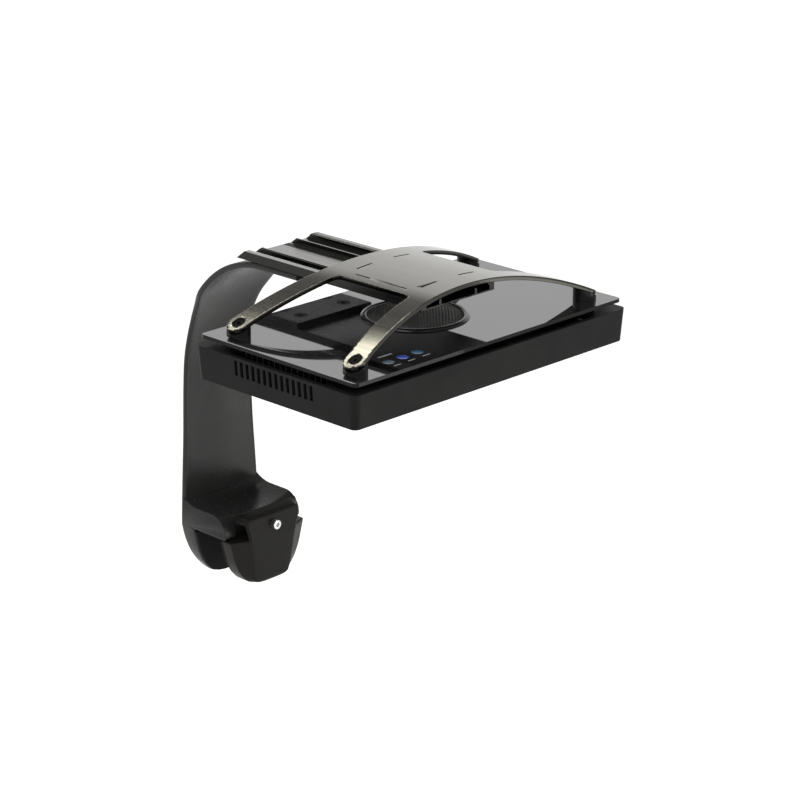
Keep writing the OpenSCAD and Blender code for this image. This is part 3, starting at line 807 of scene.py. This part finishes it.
@dataclass
class Jaw(Assembly):
    """The moving jaw: a shield with a raised front panel, whose hood reaches over the foot."""

    body: str = "jaw"
    depth: float = 37.0
    slot_face: float = -14.5
    shoulder: float = -25.0
    wall: float = 1.1
    screw_z: float = 7.3
    edge_line: tuple[Flat, ...] = (
        (-37.0, 8.5), (-36.1, 14.8), (-33.4, 20.2), (-28.0, 25.2), (-23.0, 28.2), (-17.0, 30.8), (-9.5, 33.0),
        (-3.0, 34.8), (0.0, 35.5))
    crease_line: tuple[Flat, ...] = (
        (-37.0, 14.5), (-27.0, 17.2), (-20.0, 18.0), (-12.0, 19.0), (-4.0, 20.4), (3.0, 21.9), (8.0, 23.6),
        (12.0, 23.9))

    def half_width(self, z: float) -> float:
        """Half width of the shield at height z."""
        return through(self.edge_line, z)

    def panel_half(self, z: float) -> float:
        """Half width of the raised panel at height z."""
        return through(self.crease_line, z)

    def panel_front(self, z: float) -> float:
        """Front face of the raised panel at height z."""
        return blend(-31.3, -28.6, (max(-z, 0.0) / self.depth) ** 1.4)

    def ring(self, z: float, pinch: float) -> list[Point]:
        """Plan section of the shield.

        Args:
            z: height of the section.
            pinch: how far the section is drawn in, for the rounded rims.

        Returns:
            A closed ring.
        """
        w = self.half_width(z) - pinch
        p = min(self.panel_half(z), w - 4.0)
        front = self.panel_front(z) + pinch
        sh = self.shoulder + pinch * 0.5
        corner = 1.2
        side: list[Flat] = [(w - 0.8, self.slot_face), (w, self.slot_face - 0.8), (w, -18.0), (w, sh + corner)]
        side += arc((w - corner, sh + corner), corner, -12, -66, 4)
        for i in range(1, 9):
            t = i / 9
            side.append((blend(w - corner, p + 0.6, t), blend(sh, front + 0.35, t)))
        side += [(p + 0.1, front + 0.05), (p - 0.6, front - 0.05), (p * 0.66, front - 0.1), (p * 0.33, front - 0.15)]
        left = [(-x, y) for x, y in side]
        loop = side + [(0.0, front - 0.18)] + list(reversed(left))
        return [(x, y, z) for x, y in loop]

    def shield(self) -> bpy.types.Object:
        """The shield and the lower part of its panel."""
        levels = [(-self.depth, 2.0), (-self.depth + 0.5, 1.0), (-self.depth + 1.3, 0.3), (-self.depth + 2.2, 0.0)]
        levels += [(blend(-self.depth + 3.2, -1.2, i / 26), 0.0) for i in range(27)]
        levels += [(-0.6, 0.2), (-0.3, 0.7)]
        return Workshop.loft("shield", [self.ring(z, pinch) for z, pinch in levels])

    def hood_line(self) -> list[tuple[Flat, Flat, float, float]]:
        """The hood's middle line and its free edge.

        Returns:
            For each station the front point in Y and Z, the edge's point in Y and Z, the panel's half width
            and the half width at the free edge.
        """
        line = []
        for i in range(9):
            z = blend(-3.0, 9.0, i / 8)
            y = self.panel_front(z)
            line.append(((y, z), (y + 0.4, z), self.panel_half(z), self.panel_half(z) + 0.5))
        turn = [(-31.3, 12.0), (-31.2, 13.8), (-30.9, 15.0), (-30.2, 15.8), (-29.2, 16.3), (-27.0, 16.9),
                (-24.5, 17.5), (-22.0, 18.0)]
        rims = [(-30.2, 10.2), (-29.0, 11.3), (-27.8, 12.6), (-26.6, 13.8), (-25.4, 14.9), (-24.2, 15.9),
                (-23.0, 16.8), (-21.8, 17.5)]
        for i, (mid, rim) in enumerate(zip(turn, rims)):
            line.append((mid, rim, blend(23.8, 22.0, ease((i + 1) / 8)), blend(24.4, 29.4, ease((i + 1) / 8))))
        return line

    def hood(self) -> bpy.types.Object:
        """The panel's upper part, bent back over the foot.

        Returns:
            The hood as a closed shell.
        """
        rows = []
        for mid, rim, p, q in self.hood_line():
            half_row = []
            for i in range(7):
                half_row.append((p * i / 6, mid[0] - 0.15 * (1 - (i / 6) ** 2), mid[1]))
            for i in range(1, 6):
                t = i / 5
                bow = math.sin(t * math.pi) * 0.5
                half_row.append((blend(p, q, t), blend(mid[0], rim[0], t) + bow, blend(mid[1], rim[1], t ** 1.3)))
            rows.append([(-x, y, z) for x, y, z in reversed(half_row[1:])] + half_row)
        width = len(rows[0])
        points = [p for row in rows for p in row]
        faces = [(r * width + k, r * width + k + 1, (r + 1) * width + k + 1, (r + 1) * width + k)
                 for r in range(len(rows) - 1) for k in range(width - 1)]
        sheet = Workshop.solid("hood", points, faces)
        shape = bmesh.new()
        shape.from_mesh(sheet.data)
        shape.normal_update()
        if sum(f.normal.y * f.calc_area() for f in shape.faces) > 0:
            bmesh.ops.reverse_faces(shape, faces=shape.faces)
        shape.to_mesh(sheet.data)
        shape.free()
        thick = sheet.modifiers.new("thick", "SOLIDIFY")
        thick.thickness = self.wall * MM
        thick.offset = -1
        thick.use_even_offset = True
        return Workshop.apply(sheet)

    def build(self) -> None:
        """Makes the jaw and dresses what is fixed to it."""
        jaw = Workshop.combine(self.shield(), [self.hood()], "UNION")
        jaw.name = "jaw_casting"
        hole = Workshop.turned("tool", [(3.3, -40), (3.3, -20)], (0, 0, self.screw_z), "Y", 40)
        Workshop.combine(jaw, [hole], "DIFFERENCE")
        self.hand_in(jaw, JAW_CAST, "jaw_shell", "clamp_jaw")
        self.dress("moving_jaw_pad", RUBBER, Edge.FINE)
        self.dress("guide_pins", STEEL)


@dataclass
class ClampScrew(Assembly):
    """The clamp screw with its socket head, thread and retaining clip."""

    body: str = "screw"
    head_r: float = 3.5
    shank_r: float = 3.0
    pitch: float = 1.0

    def build(self) -> None:
        """Makes the screw and dresses its clip."""
        low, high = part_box("clamp_screw")
        y0, y1 = low.y / MM, high.y / MM
        z = (low.z + high.z) / 2 / MM
        back = y0 + 4.1
        profile = [(0.05, y0), (self.head_r - 0.7, y0), (self.head_r - 0.15, y0 + 0.25), (self.head_r, y0 + 0.7),
                   (self.head_r, back - 0.3), (self.head_r - 0.3, back), (self.shank_r - 0.15, back + 0.05)]
        along = back + 4.0
        while along < y1 - 1.2:
            profile += [(self.shank_r - 0.45, along), (self.shank_r, along + self.pitch * 0.45),
                        (self.shank_r, along + self.pitch * 0.6)]
            along += self.pitch
        profile += [(self.shank_r - 0.5, y1 - 0.5), (self.shank_r - 0.9, y1), (0.05, y1)]
        screw = Workshop.turned("clamp_screw_turned", profile, (0, 0, z), "Y", 48)
        socket = Workshop.turned("tool", [(1.7, y0 - 1), (1.7, y0 + 2.4)], (0, 0, z), "Y", 6)
        slots = [Workshop.block((math.cos(a) * 3.55 - 0.11, y0 + 0.9, z + math.sin(a) * 3.55 - 0.11),
                                (math.cos(a) * 3.55 + 0.11, back - 0.5, z + math.sin(a) * 3.55 + 0.11))
                 for a in (math.tau * k / 24 for k in range(24))]
        Workshop.combine(screw, [socket, Workshop.merge("tool", slots)], "DIFFERENCE")
        self.hand_in(screw, STEEL, "steel", "clamp_screw")
        self.dress("screw_clip", STEEL)


# ---------------------------------------------------------------- hanger


@dataclass
class Hanger(Assembly):
    """The arched sheet with its legs, the posts and the carriage beneath it."""

    body: str = "lamp"
    radius: float = 250.0
    rise: float = 32.0
    thick: float = 3.0
    leg_x: float = 107.2
    leg_y: float = 53.3
    tip_r: float = 7.85
    mid_hw: float = 38.5
    hole_r: float = 4.35

    def edge(self, x: float) -> float:
        """Outer edge of the legs at x."""
        return 46.8 + 0.00125 * x * x

    def outline(self) -> list[Flat]:
        """Plan outline of the sheet.

        Returns:
            The closed outline round the lamp's middle.
        """
        corner = 5.0
        inner = self.edge(self.mid_hw + corner) - 15.4
        quarter = [(x, self.edge(x)) for x in [self.leg_x * i / 20 for i in range(20)]]
        quarter += arc((self.leg_x, self.leg_y), self.tip_r, 90, -90, 20)
        steps = 14
        quarter += [(x, self.edge(x) - 15.4)
                    for x in [blend(self.leg_x - 6, self.mid_hw + corner + 2, i / steps) for i in range(steps + 1)]]
        quarter += arc((self.mid_hw + corner, inner - corner), corner, 90, 180, 8)
        right = quarter + [(x, -y) for x, y in reversed(quarter)]
        return right + [(-x, y) for x, y in reversed(right)]

    def slits(self) -> list[list[Flat]]:
        """Outlines of the six slits in the middle plate.

        Returns:
            One closed outline for each slit.
        """
        out = []
        for s in (-1, 1):
            spans = [(10.0, 24.0, 29.3 * s, True), (-24.5, -10.5, 29.3 * s, True),
                     (16.5 * s - 6.5, 16.5 * s + 6.5, -31.4, False)]
            for a, b, c, along in spans:
                loop = [(a, c - 0.5), (b, c - 0.5), (b, c + 0.5), (a, c + 0.5)]
                out.append(loop if along else [(y, x) for x, y in loop])
        return out

    def sheet(self, centre: Flat, crown: float) -> bpy.types.Object:
        """The arched sheet.

        Args:
            centre: the lamp's middle in X and Y.
            crown: height of the arch's crown.

        Returns:
            The new object.
        """
        tilt = math.cos(math.asin(self.leg_x / self.radius))
        loops = [self.outline()] + self.slits()
        for i in (-1, 1):
            for j in (-1, 1):
                hole = arc((0, 0), self.hole_r, 0, 345, 23)
                loops.append([(i * self.leg_x + x * tilt, j * self.leg_y + y) for x, y in hole])
        curve = bpy.data.curves.new("hanger_flat", "CURVE")
        curve.dimensions = "2D"
        curve.fill_mode = "BOTH"
        rim = 0.35
        curve.extrude = self.thick / 2 - rim
        curve.bevel_depth = rim
        curve.bevel_resolution = 2
        curve.offset = -rim
        for loop in loops:
            spline = curve.splines.new("POLY")
            spline.points.add(len(loop) - 1)
            for point, (x, y) in zip(spline.points, loop):
                point.co = (x, y, 0, 1)
            spline.use_cyclic_u = True
        flat = bpy.data.objects.new("hanger_flat", curve)
        bpy.context.scene.collection.objects.link(flat)
        bpy.context.view_layer.update()
        mesh = bpy.data.meshes.new_from_object(flat.evaluated_get(bpy.context.evaluated_depsgraph_get()))
        bpy.data.objects.remove(flat)
        shape = bmesh.new()
        shape.from_mesh(mesh)
        bmesh.ops.remove_doubles(shape, verts=shape.verts, dist=0.001)
        x = -116.0
        while x < 116:
            everything = shape.verts[:] + shape.edges[:] + shape.faces[:]
            bmesh.ops.bisect_plane(shape, geom=everything, plane_co=(x, 0, 0), plane_no=(1, 0, 0))
            x += 2.0
        for vert in shape.verts:
            turn = math.asin(vert.co.x / self.radius)
            reach = self.radius + vert.co.z - self.thick / 2
            vert.co = Vector((centre[0] + reach * math.sin(turn), centre[1] + vert.co.y,
                              crown - self.radius + reach * math.cos(turn))) * MM
        bmesh.ops.recalc_face_normals(shape, faces=shape.faces)
        shape.to_mesh(mesh)
        shape.free()
        mesh.name = "hanger_sheet"
        piece = bpy.data.objects.new("hanger_sheet", mesh)
        bpy.context.scene.collection.objects.link(piece)
        Workshop.smooth(piece, 60)
        return piece

    def build(self) -> None:
        """Makes the sheet and dresses the posts, screws and carriage."""
        low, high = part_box("hanger")
        centre = ((low.x + high.x) / 2 / MM, (low.y + high.y) / 2 / MM)
        self.hand_in(self.sheet(centre, high.z / MM), HANGER_BRONZE, "bronze_sheet", "hanger")
        self.dress("hanger_screws", BLACK_STEEL)
        self.dress("hanger_posts", POST_BLACK, Edge.FINE)
        self.dress("post_nuts", STEEL)
        self.dress("plate_spacers", POST_BLACK)
        self.dress("carriage", ACETAL)
        self.dress("carriage_runners", ACETAL)


# ---------------------------------------------------------------- fan


@dataclass
class FanGuard(Assembly):
    """The ring and the woven wire mesh over the fan."""

    body: str = "lamp"
    outer: float = 36.0
    inner: float = 31.8
    wires: int = 43
    pitch: float = 1.45
    wire: float = 0.2

    def mesh(self, centre: Flat, z: float) -> bpy.types.Object:
        """The woven mesh.

        Args:
            centre: the fan's axis in X and Y.
            z: height of the mesh.

        Returns:
            All wires as one object.
        """
        points: list[Point] = []
        faces: list[tuple[int, ...]] = []
        span = self.inner - 0.1
        for way in (0, 1):
            for i in range(self.wires):
                offset = (i - (self.wires - 1) / 2) * self.pitch
                if abs(offset) >= span - 1:
                    continue
                reach = math.sqrt(span ** 2 - offset ** 2)
                count = max(int(reach * 2 / self.pitch * 2), 4)
                start = len(points)
                for k in range(count + 1):
                    along = blend(-reach, reach, k / count)
                    lift = 0.16 * math.cos(math.pi * (along / self.pitch + i + way))
                    for a in range(4):
                        side = math.cos(a * math.pi / 2) * self.wire
                        up = math.sin(a * math.pi / 2) * self.wire + lift
                        spot = (along, offset + side) if way else (offset + side, along)
                        points.append((centre[0] + spot[0], centre[1] + spot[1], z + up))
                for k in range(count):
                    a = start + k * 4
                    faces += [(a + j, a + (j + 1) % 4, a + 4 + (j + 1) % 4, a + 4 + j) for j in range(4)]
                faces += [tuple(range(start, start + 4)), tuple(range(len(points) - 1, len(points) - 5, -1))]
        return Workshop.solid("guard_mesh_woven", points, faces)

    def build(self) -> None:
        """Makes the ring and the mesh."""
        low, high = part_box("fan_guard_ring")
        centre = ((low.x + high.x) / 2 / MM, (low.y + high.y) / 2 / MM)
        top = high.z / MM
        base = top - 1.6
        bottom = low.z / MM
        profile = [(self.inner, bottom), (33.2, bottom), (33.2, base), (self.outer - 0.2, base),
                   (self.outer, base + 0.3), (self.outer - 0.3, base + 0.8), (self.outer - 1.6, top - 0.15),
                   (self.outer - 2.1, top), (self.inner + 1.1, top), (self.inner + 0.5, top - 0.2),
                   (self.inner + 0.1, top - 0.8)]
        ring = Workshop.turned("guard_ring_turned", profile, (*centre, 0), count=128, loop=True)
        self.hand_in(ring, GUARD_RING, "guard_metal", "fan_guard_ring")
        self.hand_in(self.mesh(centre, base + 0.1), GUARD_WIRE, "guard_wire", "fan_guard_mesh")
        self.dress("fan_frame", FAN_PLASTIC, Edge.FINE)
        self.dress("fan_screws", STEEL)
        self.dress("fan_bearing", BRASS)


@dataclass
class Rotor(Assembly):
    """The fan's rotor: a hub cap with cambered blades."""

    body: str = "fan"
    hub: float = 14.0
    tip: float = 29.4
    blades: int = 7

    def blade(self, turn: float, centre: Flat, z: float, height: float) -> bpy.types.Object:
        """One blade.

        Args:
            turn: where the blade stands round the hub, in radians.
            centre: the fan's axis.
            z: the rotor's underside.
            height: the rotor's height.

        Returns:
            The blade.
        """
        rings = []
        for i in range(9):
            t = i / 8
            r = blend(self.hub - 0.8, self.tip, t)
            pitch = math.radians(blend(46, 30, t))
            chord = blend(10.5, 14.5, t)
            sweep = turn + 0.28 * t * t
            ring = []
            shape = [(-0.5, 0.0), (-0.25, 0.5), (0.0, 0.72), (0.25, 0.55), (0.5, 0.08), (0.25, -0.25), (0.0, -0.1),
                     (-0.25, -0.25)]
            for u, v in shape:
                camber = 1.3 * (1 - 4 * u * u)
                along = u * chord
                up = v * 0.9 + camber
                side = along * math.cos(pitch) - up * math.sin(pitch)
                lift = min(max(along * math.sin(pitch) + up * math.cos(pitch), -height / 2), height / 2)
                angle = sweep + side / r
                ring.append((centre[0] + r * math.cos(angle), centre[1] + r * math.sin(angle), z + height / 2 + lift))
            rings.append(ring)
        return Workshop.loft("blade", rings)

    def build(self) -> None:
        """Makes the rotor and dresses its shaft."""
        low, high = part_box("fan_rotor")
        shaft_low, shaft_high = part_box("fan_shaft")
        centre = ((shaft_low.x + shaft_high.x) / 2 / MM, (shaft_low.y + shaft_high.y) / 2 / MM)
        z0, z1 = low.z / MM, high.z / MM
        profile = [(self.hub - 1.4, z0), (self.hub, z0), (self.hub, z1 - 1.2), (self.hub - 0.4, z1 - 0.4),
                   (self.hub - 1.3, z1), (3.0, z1), (2.4, z1 - 0.3), (1.55, z1 - 0.3), (1.55, z1 - 1.6),
                   (self.hub - 2.2, z1 - 1.6), (self.hub - 1.4, z1 - 2.4)]
        pieces = [Workshop.turned("hub", profile, (*centre, 0), loop=True)]
        pieces += [self.blade(math.tau * k / self.blades, centre, z0, z1 - z0) for k in range(self.blades)]
        self.hand_in(Workshop.merge("rotor_moulded", pieces), FAN_PLASTIC, "fan_plastic", "fan_rotor")
        self.dress("fan_shaft", STEEL, None)


# ---------------------------------------------------------------- lamp head


@dataclass
class LampHead(Assembly):
    """The housing with its glass top, keys, heatsink, lights and socket."""

    body: str = "lamp"
    lens_r: float = 7.0

    def keys(self) -> None:
        """Makes the three lit keys, each a low dome with a ring round it."""
        low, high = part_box("touch_keys")
        radius = 3.95
        xs = (low.x / MM + radius, (low.x + high.x) / 2 / MM - 0.25, high.x / MM - radius)
        ys = (low.y / MM + radius, low.y / MM + radius + 0.5, high.y / MM - radius)
        top = high.z / MM
        names = ("key_channel_a", "key_channel_b", "key_channel_c")
        for i, name in enumerate(names):
            profile = [(0.03, top - 0.5), (radius, top - 0.5), (radius, top - 0.12), (radius - 0.3, top - 0.02),
                       (radius - 0.7, top - 0.02), (radius - 0.9, top - 0.14), (1.7, top - 0.06), (1.4, top - 0.16),
                       (1.0, top - 0.16), (0.7, top - 0.06), (0.03, top - 0.04)]
            key = Workshop.turned(name, profile, (xs[i], ys[i], 0), count=56)
            nodes = ("touch_keys",) if i == 0 else ()
            self.hand_in(key, KEYS[i], "key_light", *nodes)

    def lenses(self) -> None:
        """Makes the moulded lenses under the lights."""
        low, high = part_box("led_lenses")
        z0, z1 = low.z / MM, high.z / MM
        cols, rows = 6, 4
        pieces = []
        for i in range(cols):
            for j in range(rows):
                x = blend(low.x / MM + self.lens_r, high.x / MM - self.lens_r, i / (cols - 1))
                y = blend(low.y / MM + self.lens_r, high.y / MM - self.lens_r, j / (rows - 1))
                profile = [(0.05, z1), (self.lens_r * 0.62, z1), (self.lens_r * 0.7, z1 - 0.4),
                           (self.lens_r, z1 - 1.7), (self.lens_r, z0 + 0.3), (self.lens_r - 0.4, z0),
                           (3.4, z0), (3.0, z0 + 0.5), (2.0, z0 + 0.25), (1.0, z0 + 0.08), (0.05, z0)]
                pieces.append(Workshop.turned("lens", profile, (x, y, 0), count=32))
        self.hand_in(Workshop.merge("lenses_moulded", pieces), OPTIC, "lens_clear", "led_lenses")

    def build(self) -> None:
        """Makes the lamp head's own pieces and dresses the rest."""
        self.keys()
        self.lenses()
        self.dress("housing", HOUSING_COAT, Edge.FINE)
        self.dress("glass_top", MIRROR_GLASS, Edge.CRISP)
        self.dress("touch_marks", PRINT, None)
        self.dress("touch_board", BOARD_GREEN)
        self.dress("base_screws", STEEL)
        self.dress("heatsink", SINK_METAL)
        self.dress("board_screws", STEEL)
        self.dress("led_board", BOARD_WHITE)
        self.dress("led_chips", CHIP)
        self.dress("lens_gasket", RUBBER)
        self.dress("lens_cover", COVER)
        self.dress("power_socket", FAN_PLASTIC)
        self.dress("socket_pin", BRASS)
        self.dress("socket_nut", STEEL)


# ---------------------------------------------------------------- studio


@dataclass
class Studio:
    """The pale floor, the soft light and the camera."""

    azimuth: float = -45.38
    elevation: float = 19.41
    lens: float = 117.6
    distance: float = 1709.9
    side: float = -10.0
    drop: float = -55.3
    floor_z: float = -0.34

    def camera(self) -> None:
        """Stands the camera in front of the lamp's left corner."""
        a, e = math.radians(self.azimuth), math.radians(self.elevation)
        back = Vector((math.sin(a) * math.cos(e), -math.cos(a) * math.cos(e), math.sin(e)))
        right = Vector((math.cos(a), math.sin(a), 0))
        up = back.cross(right)
        low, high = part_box("glass_top")
        aim = Vector(((low.x + high.x) / 2, (low.y + high.y) / 2, high.z))
        at = aim + (back * self.distance + right * self.side + up * self.drop) * MM
        data = bpy.data.cameras.new("camera")
        data.lens = self.lens
        data.sensor_width = 36
        data.clip_start = 0.05
        data.clip_end = 60
        camera = bpy.data.objects.new("camera", data)
        turn = Matrix((right, up, back)).transposed().to_4x4()
        camera.matrix_world = Matrix.Translation(at) @ turn
        bpy.context.scene.collection.objects.link(camera)
        bpy.context.scene.camera = camera

    def light(self, name: str, at: Point, aim: Point, size: Flat, power: float, colour: Colour) -> None:
        """Adds a soft box.

        Args:
            name: its name.
            at: its place in metres.
            aim: the point that it faces.
            size: width and height in metres.
            power: its power in watts.
            colour: its colour.
        """
        data = bpy.data.lights.new(name, "AREA")
        data.shape = "RECTANGLE"
        data.size, data.size_y = size
        data.energy = power
        data.color = colour
        lamp = bpy.data.objects.new(name, data)
        lamp.location = at
        lamp.rotation_euler = (Vector(aim) - Vector(at)).to_track_quat("-Z", "Y").to_euler()
        bpy.context.scene.collection.objects.link(lamp)

    def sky(self) -> None:
        """Surrounds the scene with a pale room, darker half way up."""
        world = bpy.data.worlds.new("room")
        world.use_nodes = True
        bpy.context.scene.world = world
        tree = world.node_tree
        place = tree.nodes.new("ShaderNodeTexCoord")
        split = tree.nodes.new("ShaderNodeSeparateXYZ")
        ramp = tree.nodes.new("ShaderNodeValToRGB")
        tree.links.new(place.outputs["Generated"], split.inputs[0])
        tree.links.new(split.outputs["Z"], ramp.inputs["Fac"])
        stops = [(0.0, 1.0), (0.44, 1.0), (0.50, 0.24), (0.67, 0.15), (0.82, 0.2), (1.0, 0.8)]
        marks = ramp.color_ramp.elements
        while len(marks) < len(stops):
            marks.new(0.5)
        for mark, (position, level) in zip(marks, stops):
            mark.position = position
            mark.color = (level, level, level, 1)
        ground = tree.nodes["Background"]
        tree.links.new(ramp.outputs["Color"], ground.inputs["Color"])
        ground.inputs["Strength"].default_value = 1.05

    def floor(self) -> None:
        """Lays the pale floor."""
        reach = 40000.0
        floor = Workshop.block((-reach, -reach, self.floor_z / MM - 10), (reach, reach, self.floor_z / MM), "floor")
        bench = Bench("floor_pale")
        bench.tint(bench.noise(0.7, 2.0), (0.90, 0.90, 0.90), (0.93, 0.93, 0.93))
        bench.fix(Roughness=0.9, Specular_IOR_Level=0.0, Emission_Color=(1, 1, 1, 1), Emission_Strength=0.55)
        floor.data.materials.append(bench.material)

    def build(self) -> None:
        """Sets up the whole studio."""
        self.camera()
        self.sky()
        self.floor()
        self.light("soft_top", (-0.5, -0.6, 1.7), (0, -0.12, 0.1), (1.4, 1.4), 10.0, (1.0, 1.0, 1.0))
        self.light("strip_back", (0.85, 1.95, 2.56), (0, -0.15, 0.2), (1.6, 0.20), 5.4, (1.0, 0.97, 0.84))
        self.light("side_low", (0.54, -0.97, -0.15), (0, 0.02, 0.08), (0.3, 0.45), 1.1, (1.0, 0.99, 0.94))
        view = bpy.context.scene.view_settings
        view.view_transform = "Standard"
        view.look = "None"


def main() -> None:
    """Builds every sub-assembly in order."""
    logging.basicConfig(level=logging.INFO, format="%(name)s: %(message)s")
    for part in (Studio(), Arm(), Jaw(), ClampScrew(), Hanger(), FanGuard(), Rotor(), LampHead()):
        part.build()
        LOG.info("%s is done", type(part).__name__)


if __name__ == "__main__":
    main()
